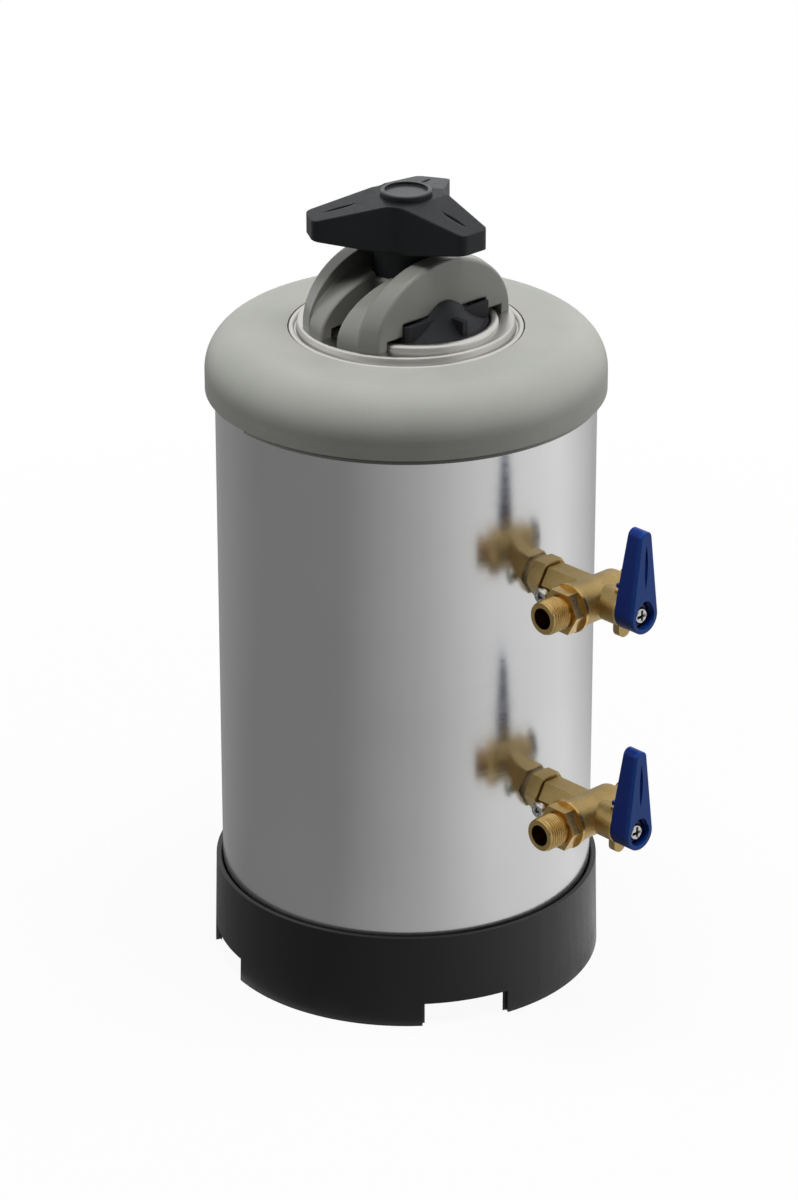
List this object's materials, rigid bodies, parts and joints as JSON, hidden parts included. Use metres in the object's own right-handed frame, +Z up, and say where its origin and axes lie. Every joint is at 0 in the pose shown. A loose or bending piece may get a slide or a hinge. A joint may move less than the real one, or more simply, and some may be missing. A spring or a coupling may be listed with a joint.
{
  "type": "water softener",
  "caption": "Manual tank water softener: a steel tank on a moulded base, an oval lid drawn up by a knob and bridge, and side ball valves with levers.",
  "frame": {"origin": "on the tank's axis at the floor the base stands on", "axes": "+Z up along the tank's axis, +X the way the valves reach out, -Y the way their threaded ports point"},
  "size_m": [0.2593, 0.1946, 0.4],
  "materials": {
    "tank_steel": "satin rolled stainless steel",
    "base_plastic": "satin moulded black plastic",
    "cap_plastic": "fine-grained moulded grey plastic",
    "lid_plastic": "matt moulded black plastic",
    "bridge_paint": "semi-gloss grey paint on a casting",
    "knob_plastic": "fine-textured black plastic",
    "black_plastic": "moulded black plastic",
    "black_rubber": "moulded rubber",
    "valve_brass": "blasted cast brass",
    "machined_brass": "turned brass",
    "plated_ball": "polished plated ball",
    "white_plastic": "moulded white plastic",
    "blue_plastic": "satin moulded blue plastic",
    "bright_steel": "bright stainless steel",
    "resin": "amber beads"
  },
  "bodies": {
    "tank": {"tank_shell": "tank_steel", "tank_bottom": "tank_steel", "tank_top": "tank_steel", "base": "base_plastic", "cap": "cap_plastic", "bridge": "bridge_paint", "thrust_washer": "bright_steel", "upper_strainer": "white_plastic", "riser_tube": "white_plastic", "outlet_basket": "white_plastic", "resin_bed": "resin", "lower_spigot": "valve_brass", "lower_gasket": "black_rubber", "lower_lock_nut": "valve_brass", "lower_valve_body": "valve_brass", "lower_port_washer": "machined_brass", "lower_port": "machined_brass", "lower_ball_seats": "white_plastic", "lower_bleed_screw": "bright_steel", "lower_drain_cap": "black_plastic", "upper_spigot": "valve_brass", "upper_gasket": "black_rubber", "upper_lock_nut": "valve_brass", "upper_valve_body": "valve_brass", "upper_port_washer": "machined_brass", "upper_port": "machined_brass", "upper_ball_seats": "white_plastic", "upper_bleed_screw": "bright_steel", "upper_drain_cap": "black_plastic"},
    "closure": {"lid": "lid_plastic", "lid_seal": "black_rubber", "lid_stud": "bright_steel"},
    "knob": {"knob": "knob_plastic", "knob_insert": "machined_brass", "knob_disc": "knob_plastic"},
    "lower_lever": {"lower_lever": "blue_plastic", "lower_lever_washer": "bright_steel", "lower_lever_screw": "bright_steel", "lower_stem": "machined_brass", "lower_stem_ring": "black_rubber", "lower_ball": "plated_ball"},
    "upper_lever": {"upper_lever": "blue_plastic", "upper_lever_washer": "bright_steel", "upper_lever_screw": "bright_steel", "upper_stem": "machined_brass", "upper_stem_ring": "black_rubber", "upper_ball": "plated_ball"}
  },
  "joints": [
    {"name": "knob_turn", "type": "hinge", "parent": "tank", "child": "knob", "pos_m": [0, 0, 0.3595], "axis": [0, 0, 1], "range_deg": [0, 1440]},
    {"name": "lid_drop", "type": "slide", "parent": "tank", "child": "closure", "axis": [0, 0, -1], "range_m": [0, 0.0081]},
    {"name": "upper_lever_turn", "type": "hinge", "parent": "tank", "child": "upper_lever", "pos_m": [0.15, 0, 0.23], "axis": [1, 0, 0], "range_deg": [-90, 90]},
    {"name": "lower_lever_turn", "type": "hinge", "parent": "tank", "child": "lower_lever", "pos_m": [0.15, 0, 0.1165], "axis": [1, 0, 0], "range_deg": [-90, 90]}
  ],
  "couplings": [
    {"joint": "lid_drop", "follows": "knob_turn", "m_per_rad": 0.00031831}
  ]
}
